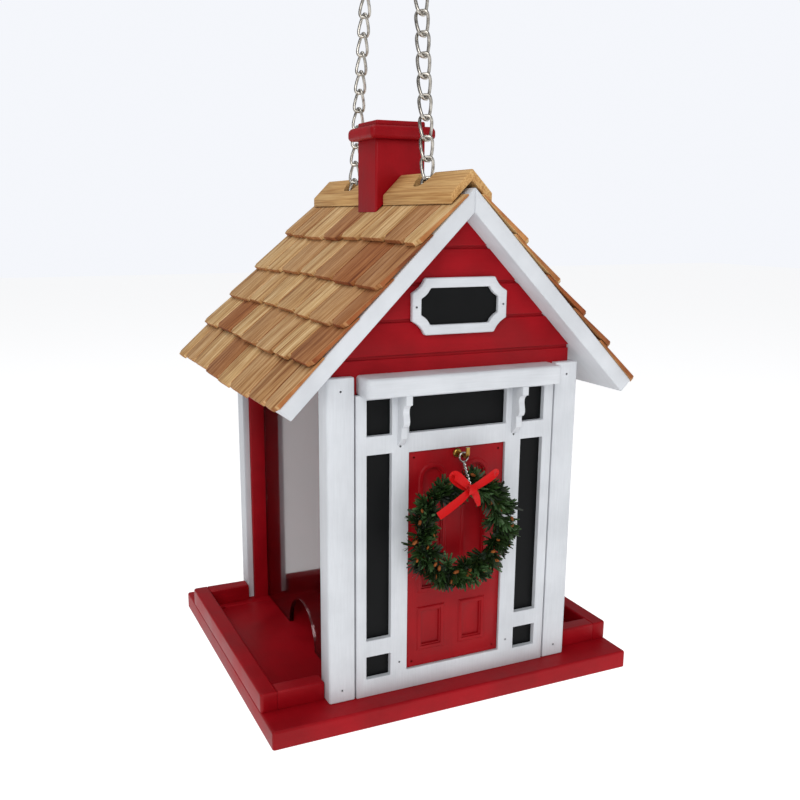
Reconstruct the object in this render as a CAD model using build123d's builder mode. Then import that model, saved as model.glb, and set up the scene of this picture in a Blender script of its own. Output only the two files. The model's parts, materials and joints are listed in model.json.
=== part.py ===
"""Hanging hopper bird feeder in the shape of a cottage, in millimetres.

Origin: centre of the base's underside. +Z is up, the door gable faces -Y and the ridge runs along Y.
"""
from build123d import *
from math import cos, radians, sin, sqrt, tan
import os

os.makedirs("parts", exist_ok=True)

# ---- driving dimensions -------------------------------------------------------------------------
# base and tray rails
base_w = 200.0          # base board, across X
base_d = 174.0          # base board, along Y
base_t = 9.5
base_edge_r = 1.3
rail_t = 8.5
rail_h = 9.6
rail_setback = 18.0     # ledge left at the front and the rear of the base
rail_edge_r = 1.0
rail_corner_r = 1.8
drain_r = 1.8
drain_inset = 5.5       # drain hole centre from the rails' inner faces

# walls and corner boards
wall_t = 9.5
wall_half_w = 63.7
wall_gap = 123.4        # clear distance between the two gable walls
board_w = 13.2          # corner board, seen from the front
board_depth = 11.0      # corner board, seen from the side
board_t = 3.8
board_r = 1.4
post_top = 168.8
siding_pitch = 16.4
siding_groove_w = 1.6
siding_groove_depth = 1.2
siding_lines = 4

# clear side panels
panel_t = 2.5
panel_x = 55.2          # outer face
panel_top = 181.0
groove_depth = 3.0
groove_play = 0.15
arch_r = 21.0

# door front
sheet_t = 3.2           # white surround
backing_t = 0.6
surround_half_w = 53.4
opening_half_w = 26.4
sill_h = 10.0           # surround below the door
door_h = 111.6
door_t = 2.4
door_play = 0.3
pane_in = 35.2          # inner and outer edges of the side windows
pane_out = 48.1
low_pane = (18.6, 30.4)     # heights of the window openings
long_pane = (38.8, 131.6)
top_pane = (140.4, 157.6)
lintel_z = 160.0
lintel_h = 9.0
lintel_half_w = 51.8
lintel_reach = 10.2     # how far the lintel stands out from the surround
bracket_t = 3.2
bracket_x = 31.0

brad_r = 0.5
brad_len = 7.0
brad_inset = 6.2        # corner board brads, from the board's ends
surround_brads = [(31.0, 134.5), (30.5, 24.6)]
door_brad_inset = 3.2

# plaque in the gable
plaque_z = 198.8
plaque_w = 50.0
plaque_h = 26.2
plaque_corner_r = 6.6   # how far a corner is cut back
plaque_hollow = 0.7     # larger is a flatter arc
plaque_rim = 4.6
plaque_t = 3.0
plaque_panel_t = 1.0
plaque_nail_x = 23.0

# roof
pitch = 45.0
roof_apex_z = 252.0     # outer face of the boards at the ridge
roof_slope = 131.8      # ridge to eave, along the slope
roof_t = 7.8
roof_len = 182.0
roof_y = 6.0            # the loose roof sits a little back of centre
course_butts = (37.5, 64.0, 87.0, 110.0, 134.4)     # butts' distances from the ridge, down the slope
shingle_lap = 8.0
shingle_thin = 0.8
shingle_butt = 2.4
shingle_uneven = 0.9    # how far butts stray from their line
shingle_w = 26.0
shingle_gap = 0.9
shingle_clip = 2.6      # clipped corner at a butt
rake_overhang = 0.8
cap_rise = 3.0          # underside of the ridge cap over the roof apex
cap_t = 3.6
cap_half_w = 10.4
cap_inset = 3.0
chain_hole = 13.0       # width of the chain holes, across X
chain_slots = ((-45.9, -31.2), (39.9, 58.9))    # their ends along Y, long enough for the roof to lift

# chimney
chimney_x = 28.0
chimney_y = 24.2
chimney_centre_y = 4.2
chimney_foot_rise = 3.2
chimney_top = 277.6
rim_h = 6.6
rim_reach = 4.3
crown_h = 2.6
cap_to_chimney = 0.4

# chains and hanger
link_d = 1.5
link_inner = 9.8
link_w = 7.6
link_play = 0.1
hang_z = 563.2          # centre of the ring's lowest wire
hang_gap = 3.0          # each chain's top link from the ring's middle
ridge_pass_z = 256.0
ridge_pass_y = (-38.4, 54.3)
lower_links = 3
ring_r = 16.0
ring_wire_r = 1.6
eye_r = 3.4
eye_wire_r = 0.9
eye_bite = 6.0

# wreath and its hook
hook_z = 128.0
hook_wire_r = 1.0
hook_reach = 10.5
hook_rise = 5.0
hook_bend_r = 2.6
hook_flange_r = 2.3
loop_r = 2.2
loop_wire_r = 0.45
loop_y = -80.5
wreath_z = 92.5
wreath_r = 21.5
wreath_tube_r = 8.4
wreath_clear = 0.6      # wreath to the surround
bow_w = 22.0
bow_h = 12.0
bow_t = 3.0
bow_rise = 2.0
bow_x = -4.0

# ---- values that follow from them ---------------------------------------------------------------
floor_z = base_t
wall_in = wall_gap / 2
wall_out = wall_in + wall_t
board_x = wall_half_w + board_t
face_y = wall_out + board_t                # outer face of corner boards and surround
rise = tan(radians(pitch))
slope_dx = cos(radians(pitch))
slope_dz = sin(radians(pitch))
roof_under_z = roof_apex_z - roof_t / cos(radians(pitch))
roof_front = roof_y - roof_len / 2
roof_rear = roof_y + roof_len / 2


def save(block, name):
    """Label a finished piece and write it."""
    block.part.label = name
    export_step(block.part, f"parts/{name}.step")


def on_slope(side, s, n):
    """Point in XZ at distance s down the slope and n above the boards' outer face."""
    x = s * slope_dx + n * slope_dz
    z = roof_apex_z - s * slope_dz + n * slope_dx
    return (side * x, z)


# ---- base and tray ------------------------------------------------------------------------------
rail_y = base_d / 2 - rail_setback          # outer face of the short rails
rail_x = base_w / 2                         # outer face of the side rails
drain_x = rail_x - rail_t - drain_inset
drain_y = rail_y - rail_t - drain_inset

with BuildPart() as base_board:
    with BuildSketch():
        RectangleRounded(base_w, base_d, base_edge_r)
    extrude(amount=base_t)
    fillet(base_board.faces().sort_by(Axis.Z)[-1].edges(), base_edge_r)
    fillet(base_board.faces().sort_by(Axis.Z)[0].edges(), base_edge_r / 2)
    with GridLocations(2 * drain_x, 2 * drain_y, 2, 2):
        Cylinder(drain_r, 3 * base_t, mode=Mode.SUBTRACT)
save(base_board, "base_board")

for side, word in ((-1, "left"), (1, "right")):
    with BuildPart() as side_rail:
        with BuildSketch(Plane.XY.offset(floor_z)):
            with Locations((side * (rail_x - rail_t / 2), 0)):
                Rectangle(rail_t, 2 * rail_y)
        extrude(amount=rail_h)
        outer = side_rail.edges().filter_by(Axis.Z).sort_by(Axis.X)
        fillet(outer[-2:] if side > 0 else outer[:2], rail_corner_r)
        fillet(side_rail.faces().sort_by(Axis.Z)[-1].edges(), rail_edge_r)
    save(side_rail, f"tray_rail_side_{word}")

    for end, place in ((-1, "front"), (1, "rear")):
        inner_x = board_x + door_play
        rail_len = rail_x - rail_t - inner_x
        with BuildPart() as end_rail:
            with BuildSketch(Plane.XY.offset(floor_z)):
                with Locations((side * (inner_x + rail_len / 2), end * (rail_y - rail_t / 2))):
                    Rectangle(rail_len, rail_t)
            extrude(amount=rail_h)
            top_edges = end_rail.faces().sort_by(Axis.Z)[-1].edges()
            near_post = top_edges.filter_by(Axis.Y).sort_by(Axis.X)[0 if side > 0 else -1]
            fillet(top_edges.filter_by(Axis.X) + [near_post], rail_edge_r)
        save(end_rail, f"tray_rail_{place}_{word}")

# ---- gable walls --------------------------------------------------------------------------------
wall_shoulder = roof_under_z - wall_half_w * rise
siding_z = [floor_z + 100.0 + siding_pitch * (i + 4.067) for i in range(siding_lines)]

for end, place in ((-1, "front"), (1, "rear")):
    with BuildPart() as wall:
        with BuildSketch(Plane.XZ.offset(-end * wall_in)):
            with BuildLine():
                Polyline(
                    (-wall_half_w, floor_z), (wall_half_w, floor_z), (wall_half_w, wall_shoulder),
                    (0, roof_under_z), (-wall_half_w, wall_shoulder), close=True)
            make_face()
        extrude(amount=-end * wall_t)
        with Locations(*[(0, end * wall_out, z) for z in siding_z]):
            Box(2 * base_w, 2 * siding_groove_depth, siding_groove_w, mode=Mode.SUBTRACT)
        with Locations(*[(s * (panel_x - panel_t / 2), end * wall_in, roof_under_z / 2) for s in (-1, 1)]):
            Box(panel_t + 2 * groove_play, 2 * groove_depth, 2 * roof_apex_z, mode=Mode.SUBTRACT)
    save(wall, f"gable_wall_{place}")

    for side, word in ((-1, "left"), (1, "right")):
        with BuildPart() as corner_board:
            with BuildSketch(Plane.XY.offset(floor_z)):
                with BuildLine():
                    Polyline(
                        (side * board_x, end * face_y),
                        (side * (board_x - board_w), end * face_y),
                        (side * (board_x - board_w), end * wall_out),
                        (side * wall_half_w, end * wall_out),
                        (side * wall_half_w, end * (face_y - board_depth)),
                        (side * board_x, end * (face_y - board_depth)), close=True)
                make_face()
            extrude(amount=post_top - floor_z)
            corner = corner_board.edges().filter_by(Axis.Z).sort_by_distance(
                (side * board_x, end * face_y, (post_top + floor_z) / 2))[0]
            fillet(corner, board_r)
            front_edges = corner_board.faces().sort_by(Axis.Y)[0 if end < 0 else -1].edges()
            fillet(front_edges.filter_by(Axis.X), board_r / 2)
        save(corner_board, f"corner_board_{place}_{word}")

# ---- clear side panels --------------------------------------------------------------------------
panel_len = wall_gap + 2 * (groove_depth - groove_play)

for side, word in ((-1, "left"), (1, "right")):
    with BuildPart() as clear_panel:
        with BuildSketch(Plane.YZ.offset(side * (panel_x - panel_t / 2))):
            with Locations((0, (panel_top + floor_z) / 2)):
                Rectangle(panel_len, panel_top - floor_z)
            with Locations((0, floor_z)):
                Circle(arch_r, mode=Mode.SUBTRACT)
        extrude(amount=panel_t / 2, both=True)
    save(clear_panel, f"clear_panel_{word}")

# ---- door front ---------------------------------------------------------------------------------
opening_z = floor_z + sill_h
panes = [(side * (pane_in + pane_out) / 2, (low + high) / 2, pane_out - pane_in, high - low)
         for side in (-1, 1) for low, high in (low_pane, long_pane, top_pane)]
panes.append((0, sum(top_pane) / 2, 2 * opening_half_w, top_pane[1] - top_pane[0]))


def door_opening(play):
    """Rectangle of the door opening, smaller all round by play."""
    with Locations((0, opening_z + door_h / 2)):
        return Rectangle(2 * (opening_half_w - play), door_h - 2 * play)


with BuildPart() as window_backing:
    with BuildSketch(Plane.XZ.offset(wall_out)):
        with Locations((0, (floor_z + lintel_z) / 2)):
            Rectangle(2 * surround_half_w, lintel_z - floor_z)
        with Locations((0, opening_z + door_h / 2)):
            Rectangle(2 * opening_half_w, door_h, mode=Mode.SUBTRACT)
    extrude(amount=backing_t)
save(window_backing, "window_backing")

with BuildPart() as door_surround:
    with BuildSketch(Plane.XZ.offset(wall_out + backing_t)):
        with Locations((0, (floor_z + lintel_z) / 2)):
            Rectangle(2 * surround_half_w, lintel_z - floor_z)
        with Locations((0, opening_z + door_h / 2)):
            Rectangle(2 * opening_half_w, door_h, mode=Mode.SUBTRACT)
        for x, z, w, h in panes:
            with Locations((x, z)):
                Rectangle(w, h, mode=Mode.SUBTRACT)
    extrude(amount=sheet_t)
save(door_surround, "door_surround")

# door panels: a raised bead around a sunk field; the upper two have round heads
door_face = wall_out + door_t
panel_shift = -1.3
panel_spread = 11.6
bead_w = 2.1
bead_rise = 0.7
field_sink = 1.3
low_field = (28.0, 51.2)
high_field = (58.6, 124.4)
field_w = 15.4


def panel_outline(x, low, high, width, arched, mode=Mode.ADD):
    """Outline of one door panel, with a round head where arched."""
    top = high - width / 2 if arched else high
    with Locations((x, (low + top) / 2)):
        Rectangle(width, top - low, mode=mode)
    if arched:
        with Locations((x, top)):
            Circle(width / 2, mode=mode)


door_panels = [(panel_shift + s * panel_spread, *span) for s in (-1, 1)
               for span in ((*low_field, False), (*high_field, True))]

with BuildPart() as door:
    with BuildSketch(Plane.XZ.offset(wall_out)):
        door_opening(door_play)
    extrude(amount=door_t)
    with BuildSketch(Plane.XZ.offset(door_face)):
        for x, low, high, arched in door_panels:
            panel_outline(x, low, high, field_w, arched)
    extrude(amount=bead_rise, taper=38)
    for inset, depth in ((bead_w, bead_rise), (bead_w + 0.7, bead_rise + field_sink)):
        with BuildSketch(Plane.XZ.offset(door_face + bead_rise)):
            for x, low, high, arched in door_panels:
                panel_outline(x, low + inset, high - inset, field_w - 2 * inset, arched)
        extrude(amount=-depth, mode=Mode.SUBTRACT)
save(door, "door")

with BuildPart() as lintel:
    with BuildSketch(Plane.XY.offset(lintel_z)):
        with Locations((0, -(wall_out + (lintel_reach + board_t) / 2))):
            Rectangle(2 * lintel_half_w, lintel_reach + board_t)
    extrude(amount=lintel_h)
    ends = lintel.edges().filter_by(Axis.Z).group_by(Axis.Y)[0]
    fillet(ends, 3.2)
    fillet(lintel.faces().sort_by(Axis.Z)[-1].edges().group_by(Axis.Y)[:-1], 1.6)
    fillet(lintel.faces().sort_by(Axis.Z)[0].edges().group_by(Axis.Y)[:-1], 1.0)
save(lintel, "lintel_shelf")

bracket_reach = lintel_reach - 0.8
for side, word in ((-1, "left"), (1, "right")):
    with BuildPart() as bracket:
        with BuildSketch(Plane.YZ.offset(side * bracket_x)):
            with BuildLine():
                top = (-face_y, lintel_z)
                nose = Polyline(
                    top, (-face_y - bracket_reach, lintel_z), (-face_y - bracket_reach, lintel_z - 4.4),
                    (-face_y - 0.84 * bracket_reach, lintel_z - 4.8))
                wave = Spline(
                    nose @ 1, (-face_y - 0.66 * bracket_reach, lintel_z - 8.8),
                    (-face_y - 0.73 * bracket_reach, lintel_z - 12.6),
                    (-face_y - 0.60 * bracket_reach, lintel_z - 15.2))
                Polyline(
                    wave @ 1, (-face_y - 0.46 * bracket_reach, lintel_z - 15.2),
                    (-face_y - 0.46 * bracket_reach, lintel_z - 21.0),
                    (-face_y - 0.08 * bracket_reach, lintel_z - 24.6), (-face_y, lintel_z - 24.6), top)
            make_face()
        extrude(amount=bracket_t / 2, both=True)
    save(bracket, f"lintel_bracket_{word}")


# ---- plaque -------------------------------------------------------------------------------------
def ticket(width, height, cut):
    """Rectangle with its four corners cut back by shallow hollow arcs."""
    out = plaque_hollow * cut
    Rectangle(width, height)
    with GridLocations(width + 2 * out, height + 2 * out, 2, 2):
        Circle(sqrt(out ** 2 + (out + cut) ** 2), mode=Mode.SUBTRACT)


plaque_plane = Plane(origin=(0, -wall_out, plaque_z), x_dir=(1, 0, 0), z_dir=(0, -1, 0))
with BuildPart() as plaque_frame:
    with BuildSketch(plaque_plane):
        ticket(plaque_w, plaque_h, plaque_corner_r)
    extrude(amount=plaque_t)
    with BuildSketch(plaque_plane):
        ticket(plaque_w - 2 * plaque_rim, plaque_h - 2 * plaque_rim, plaque_corner_r - 1.9)
    extrude(amount=plaque_t, mode=Mode.SUBTRACT)
save(plaque_frame, "plaque_frame")

with BuildPart() as plaque_panel:
    with BuildSketch(plaque_plane):
        ticket(plaque_w - 2 * plaque_rim - 0.2, plaque_h - 2 * plaque_rim - 0.2, plaque_corner_r - 1.8)
    extrude(amount=plaque_panel_t)
save(plaque_panel, "plaque_panel")

# ---- brads --------------------------------------------------------------------------------------
def brads(face, spots):
    """Round brads driven into a gable face, given as (x, z) pairs; face is signed along Y."""
    way = -1 if face < 0 else 1
    with BuildPart() as nails:
        with BuildSketch(Plane.XZ.offset(-face)):
            with Locations(*spots):
                Circle(brad_r)
        extrude(amount=way * brad_len)
    return nails


corner_spots = [(s * (board_x - board_w / 2), z) for s in (-1, 1)
                for z in (floor_z + brad_inset, post_top - brad_inset)]
save(brads(-face_y, corner_spots), "corner_brads_front")
save(brads(face_y, corner_spots), "corner_brads_rear")
save(brads(-(wall_out + backing_t + sheet_t), [(s * x, z) for s in (-1, 1) for x, z in surround_brads]),
     "surround_brads")
door_spots = [(s * (opening_half_w - door_brad_inset), z) for s in (-1, 1)
              for z in (opening_z + door_brad_inset, opening_z + door_h - door_brad_inset)]
save(brads(-door_face, door_spots), "door_brads")
save(brads(-(wall_out + plaque_t), [(-plaque_nail_x, plaque_z), (plaque_nail_x, plaque_z)]), "plaque_nails")

# ---- roof boards, shingles and ridge caps -------------------------------------------------------
roof_plane = Plane.XZ.offset(-roof_rear)


def chain_slot(ends, margin=0.0):
    """Upright slot for one chain between its ends along Y."""
    with Locations((0, (ends[0] + ends[1]) / 2)):
        SlotOverall(ends[1] - ends[0] + 2 * margin, chain_hole + 2 * margin, rotation=90)


for side, word in ((-1, "left"), (1, "right")):
    with BuildPart() as roof_board:
        with BuildSketch(roof_plane):
            with BuildLine():
                Polyline(
                    on_slope(side, 0, 0), on_slope(side, roof_slope, 0),
                    on_slope(side, roof_slope, -roof_t), (0, roof_under_z), close=True)
            make_face()
        extrude(amount=roof_len)
        with BuildSketch(Plane.XY.offset(roof_under_z - roof_t)):
            for ends in chain_slots:
                chain_slot(ends)
        extrude(amount=4 * roof_t, mode=Mode.SUBTRACT)
    save(roof_board, f"roof_board_{word}")

first_s = 5.0
shortest = min(low - high for high, low in zip(course_butts, course_butts[1:])) + shingle_lap
bed = 0.05                                  # play under the shingles
lap_share = (shingle_lap + shingle_uneven) / (shortest - shingle_uneven)
lap_rise = bed + shingle_thin + (shingle_butt - bed - shingle_thin) * lap_share
shingle_lift = lap_rise / (1 - lap_share) + bed     # underside of a butt over the board


def shingle_cuts(course, side):
    """Sides of the shingles of one course along Y: widths vary and joints are staggered."""
    low = roof_front - rake_overhang
    high = roof_rear + rake_overhang
    cuts = [low]
    step = shingle_w * (0.55 if (course + (side > 0)) % 2 else 1.0)
    while cuts[-1] + step < high - 0.45 * shingle_w:
        cuts.append(cuts[-1] + step)
        step = shingle_w * (1 + 0.16 * sin(2.3 * len(cuts) + 1.7 * course + side))
    return cuts + [high]


for side, word in ((-1, "left"), (1, "right")):
    for course, butt_s in enumerate(course_butts, 1):
        top_s = first_s if course == 1 else course_butts[course - 2] - shingle_lap
        lift = bed if course == len(course_butts) else shingle_lift
        cuts = shingle_cuts(course, side)
        with BuildPart() as shingles:
            for number, (y0, y1) in enumerate(zip(cuts, cuts[1:])):
                gap0 = shingle_gap / 2 if number else 0
                gap1 = shingle_gap / 2 if number < len(cuts) - 2 else 0
                butt = butt_s + shingle_uneven * sin(5.1 * number + course)
                with BuildSketch(Plane.XZ.offset(-(y1 - gap1))):
                    with BuildLine():
                        Polyline(
                            on_slope(side, top_s, bed), on_slope(side, butt, lift),
                            on_slope(side, butt, lift + shingle_butt),
                            on_slope(side, top_s, bed + shingle_thin), close=True)
                    make_face()
                extrude(amount=y1 - gap1 - y0 - gap0)
            clip_edges = shingles.edges().filter_by(
                lambda e: abs(e.length - shingle_butt) < 0.2 and abs(e.center().X) > 5)
            chamfer(clip_edges, shingle_clip)
            if course == 1:
                with BuildSketch(Plane.XY.offset(roof_under_z - roof_t)):
                    for ends in chain_slots:
                        chain_slot(ends, 0.3)
                extrude(amount=6 * roof_t, mode=Mode.SUBTRACT)
        save(shingles, f"shingles_{word}_{course}")

cap_z = roof_apex_z + cap_rise
cap_peak = cap_z + cap_t / slope_dx
chimney_front = chimney_centre_y - chimney_y / 2
chimney_rear = chimney_centre_y + chimney_y / 2
cap_spans = {"front": (roof_front + cap_inset, chimney_front - cap_to_chimney),
             "rear": (chimney_rear + cap_to_chimney, roof_rear - cap_inset)}

for place, (y0, y1) in cap_spans.items():
    with BuildPart() as ridge_cap:
        with BuildSketch(Plane.XZ.offset(-y1)):
            with BuildLine():
                Polyline(
                    (0, cap_peak), (cap_half_w, cap_peak - cap_half_w * rise),
                    (cap_half_w, cap_z - cap_half_w * rise), (0, cap_z),
                    (-cap_half_w, cap_z - cap_half_w * rise),
                    (-cap_half_w, cap_peak - cap_half_w * rise), close=True)
            make_face()
        extrude(amount=y1 - y0)
        with BuildSketch(Plane.XY.offset(cap_z - cap_half_w)):
            chain_slot(chain_slots[0] if place == "front" else chain_slots[1])
        extrude(amount=4 * cap_half_w, mode=Mode.SUBTRACT)
    save(ridge_cap, f"ridge_cap_{place}")

# ---- chimney ------------------------------------------------------------------------------------
chimney_v = roof_apex_z + chimney_foot_rise
with BuildPart() as chimney_stack:
    with BuildSketch(Plane.XZ.offset(-chimney_rear)):
        with BuildLine():
            Polyline(
                (0, chimney_v), (chimney_x / 2, chimney_v - chimney_x / 2 * rise),
                (chimney_x / 2, chimney_top), (-chimney_x / 2, chimney_top),
                (-chimney_x / 2, chimney_v - chimney_x / 2 * rise), close=True)
        make_face()
    extrude(amount=chimney_y)
    fillet(chimney_stack.edges().filter_by(Axis.Z), 1.2)
save(chimney_stack, "chimney_stack")

with BuildPart() as chimney_rim:
    with BuildSketch(Plane.XY.offset(chimney_top)):
        with Locations((0, chimney_centre_y)):
            RectangleRounded(chimney_x + 2 * rim_reach, chimney_y + 2 * rim_reach, 2.4)
    extrude(amount=rim_h)
    fillet(chimney_rim.faces().sort_by(Axis.Z)[-1].edges(), 2.8)
    fillet(chimney_rim.faces().sort_by(Axis.Z)[0].edges(), 2.2)
save(chimney_rim, "chimney_rim")

with BuildPart() as chimney_crown:
    with BuildSketch(Plane.XY.offset(chimney_top + rim_h)):
        with Locations((0, chimney_centre_y)):
            RectangleRounded(chimney_x, chimney_y, 1.2)
    extrude(amount=crown_h)
    fillet(chimney_crown.faces().sort_by(Axis.Z)[-1].edges(), 0.9)
save(chimney_crown, "chimney_crown")

# ---- chains, screw eyes and hanging ring --------------------------------------------------------
link_pitch = link_inner - link_play
top_inner_z = hang_z + ring_wire_r + 0.4        # inside of the top link's upper bend


def link_points(hole_y):
    """Ends of the links' pitch lines from the ring down to the screw eye."""
    way = 1 if hole_y > 0 else -1
    start = Vector(0, way * hang_gap, top_inner_z)
    target = Vector(0, hole_y, ridge_pass_z)
    upper = int((target - start).length / link_pitch)
    upper += 1 - (upper + lower_links) % 2       # an odd number of links in all
    down = (target - start).normalized()
    points = [start + down * (link_pitch * i) for i in range(upper + 1)]
    return points + [points[-1] + Vector(0, 0, -link_pitch * (i + 1)) for i in range(lower_links)]


def chain_link(start, end, turned):
    """One oval link between two points of the chain, turned a quarter on every other link."""
    along = (end - start).normalized()
    across = Vector(0, along.Z, -along.Y) if turned else Vector(1, 0, 0)
    centre = start + along * (link_inner / 2)
    half = (link_inner + link_d) / 2
    bend = (link_w - link_d) / 2
    flat = half - bend
    middle = Plane(origin=centre, x_dir=across, z_dir=across.cross(along))
    with BuildPart() as link:
        with BuildLine(middle) as path:
            left = Line((-bend, -flat), (-bend, flat))
            head = ThreePointArc(left @ 1, (0, half), (bend, flat))
            right = Line(head @ 1, (bend, -flat))
            ThreePointArc(right @ 1, (0, -half), left @ 0)
        with BuildSketch(Plane(origin=path.wires()[0] @ 0, z_dir=path.wires()[0] % 0)):
            Circle(link_d / 2)
        sweep(path=path.wires()[0])
    return link.part


for hole_y, place in zip(ridge_pass_y, ("front", "rear")):
    way = 1 if hole_y > 0 else -1
    points = link_points(hole_y)
    links = [chain_link(a, b, bool(i % 2)) for i, (a, b) in enumerate(zip(points, points[1:]))]
    with BuildPart() as chain:
        for link in links:
            add(link)
    save(chain, f"chain_{place}")

    eye_y = points[-1].Y
    eye_z = points[-1].Z + link_play + eye_wire_r + 0.05 - eye_r
    with BuildPart() as screw_eye:
        with Locations(Location((0, eye_y, eye_z), (0, 90, 0))):
            Torus(eye_r, eye_wire_r)
        with BuildSketch(Plane(origin=(0, eye_y + way * eye_r, eye_z), x_dir=(1, 0, 0), z_dir=(0, way, 0))):
            Circle(eye_wire_r)
        extrude(amount=abs(way * wall_in - eye_y) - eye_r + eye_bite)
    save(screw_eye, f"screw_eye_{place}")

with BuildPart() as hang_ring:
    with Locations(Location((0, 0, hang_z + ring_r), (0, 90, 0))):
        Torus(ring_r, ring_wire_r)
save(hang_ring, "hang_ring")

# ---- cup hook and wreath ------------------------------------------------------------------------
with BuildPart() as cup_hook:
    with BuildSketch(Plane.XZ.offset(door_face)):
        with Locations((0, hook_z)):
            Circle(hook_flange_r)
    extrude(amount=1.4)
    fillet(cup_hook.edges().filter_by(GeomType.CIRCLE).sort_by(Axis.Y)[0], 1.2)
    with BuildLine() as hook_path:
        shank = Line((0, -door_face + 2, hook_z), (0, -door_face - hook_reach + hook_bend_r, hook_z))
        sag = hook_bend_r * (1 - sqrt(0.5))
        bend = ThreePointArc(
            shank @ 1, (0, -door_face - hook_reach + sag, hook_z + sag),
            (0, -door_face - hook_reach, hook_z + hook_bend_r))
        Line(bend @ 1, (0, -door_face - hook_reach, hook_z + hook_rise))
    with BuildSketch(Plane(origin=hook_path.wires()[0] @ 0, z_dir=(0, -1, 0))):
        Circle(hook_wire_r)
    sweep(path=hook_path.wires()[0])
save(cup_hook, "cup_hook")

loop_z = hook_z + hook_wire_r + 0.15 + loop_wire_r - loop_r
stem_top = loop_z - loop_r
wreath_y = -(face_y + wreath_clear + wreath_tube_r)
stem_foot = wreath_z + wreath_r + wreath_tube_r + 0.15
with BuildPart() as wreath_loop:
    with Locations(Location((0, loop_y, loop_z), (90, 0, 0))):
        Torus(loop_r, loop_wire_r)
    with BuildSketch(Plane(origin=(0, loop_y, stem_top + 0.2), z_dir=(0, wreath_y - loop_y, stem_foot - stem_top))):
        Circle(loop_wire_r * 1.4)
    extrude(amount=sqrt((wreath_y - loop_y) ** 2 + (stem_top - stem_foot) ** 2) - loop_wire_r)
save(wreath_loop, "wreath_loop")

with BuildPart() as wreath_ring:
    with Locations(Location((0, wreath_y, wreath_z), (90, 0, 0))):
        Torus(wreath_r, wreath_tube_r)
save(wreath_ring, "wreath_ring")

bow_front = wreath_y - wreath_tube_r - 0.1
with BuildPart() as wreath_bow:
    with BuildSketch(Plane.XZ.offset(-bow_front)):
        with Locations((bow_x, wreath_z + wreath_r + bow_rise)):
            Rectangle(bow_w, bow_h)
            with Locations((0, bow_h / 2), (0, -bow_h / 2)):
                RegularPolygon(bow_h / 3, 4, mode=Mode.SUBTRACT)
    extrude(amount=bow_t)
save(wreath_bow, "wreath_bow")
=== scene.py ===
"""Hanging cottage bird feeder: painted wood, cedar shingles, steel chains and a tinsel wreath."""
import logging
import math
import random
from dataclasses import dataclass, field
from enum import Enum

import bmesh
import bpy
from mathutils import Matrix, Vector
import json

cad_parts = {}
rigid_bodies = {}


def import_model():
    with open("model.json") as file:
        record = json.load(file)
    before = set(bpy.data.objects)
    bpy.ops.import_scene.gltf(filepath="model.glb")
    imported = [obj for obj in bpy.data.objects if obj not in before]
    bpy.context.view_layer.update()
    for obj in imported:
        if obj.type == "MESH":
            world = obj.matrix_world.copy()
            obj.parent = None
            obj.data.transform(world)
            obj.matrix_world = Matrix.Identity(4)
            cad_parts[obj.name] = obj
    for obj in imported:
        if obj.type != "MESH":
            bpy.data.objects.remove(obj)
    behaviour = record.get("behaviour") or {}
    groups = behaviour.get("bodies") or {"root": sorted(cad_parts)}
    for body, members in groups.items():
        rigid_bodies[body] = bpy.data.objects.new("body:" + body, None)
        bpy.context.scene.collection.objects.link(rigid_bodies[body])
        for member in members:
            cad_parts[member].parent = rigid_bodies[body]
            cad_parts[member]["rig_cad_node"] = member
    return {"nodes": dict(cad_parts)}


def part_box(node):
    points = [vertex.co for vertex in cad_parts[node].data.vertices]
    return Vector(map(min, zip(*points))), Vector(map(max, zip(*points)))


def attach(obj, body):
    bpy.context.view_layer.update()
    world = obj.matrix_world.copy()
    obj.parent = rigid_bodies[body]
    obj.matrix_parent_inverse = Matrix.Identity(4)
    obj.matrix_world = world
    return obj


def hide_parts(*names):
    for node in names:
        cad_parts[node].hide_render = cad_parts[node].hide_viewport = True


logging.basicConfig(level=logging.INFO, format="%(levelname)s %(message)s")
LOG = logging.getLogger("feeder")
MM = 0.001
MERGE_GAP = 0.002 * MM              # vertices closer than this become one
FLAT_ANGLE = math.radians(0.6)      # faces that turn less than this become one
EDGE_ANGLE = math.radians(32)       # edges that turn more than this are sanded
SMOOTH_ANGLE = math.radians(34)     # edges that turn less than this are shaded smooth
EDGE_SEGMENTS = 2
BUTT_LIMIT = 0.8                    # how squarely a butt looks down the slope, 0 to 1
RAKE_LIMIT = 0.85                   # how squarely a rake end looks along the ridge, 0 to 1


class Grain(Enum):
    """Direction in which a board's grain and brush marks run."""

    X = (0.06, 1.0, 1.0)
    Y = (1.0, 0.06, 1.0)
    Z = (1.0, 1.0, 0.06)
    SLOPE = (0.06, 1.0, 0.06)
    LENGTH = (0.8, 0.018, 0.8)


def srgb(code: str) -> tuple[float, float, float, float]:
    """Linear colour of an sRGB hex value.

    Args:
        code: Six hex digits.

    Returns:
        Linear red, green, blue and an alpha of 1.
    """
    parts = [int(code[i:i + 2], 16) / 255 for i in (0, 2, 4)]
    lin = [p / 12.92 if p <= 0.04045 else ((p + 0.055) / 1.055) ** 2.4 for p in parts]
    return (lin[0], lin[1], lin[2], 1.0)


def add_node(tree: bpy.types.NodeTree, kind: str, settings: dict | None = None,
             links: dict | None = None) -> bpy.types.Node:
    """Adds one shader node.

    Args:
        tree: Node tree of the material.
        kind: Node's type name, such as "ShaderNodeMix".
        settings: Property names, or input names or numbers, to values.
        links: Input names or numbers to output sockets.

    Returns:
        The new node.
    """
    node = tree.nodes.new(kind)
    for key, value in (settings or {}).items():
        if isinstance(key, str) and key.islower() and hasattr(node, key):
            setattr(node, key, value)
        else:
            node.inputs[key].default_value = value
    for key, socket in (links or {}).items():
        tree.links.new(socket, node.inputs[key])
    return node


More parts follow.
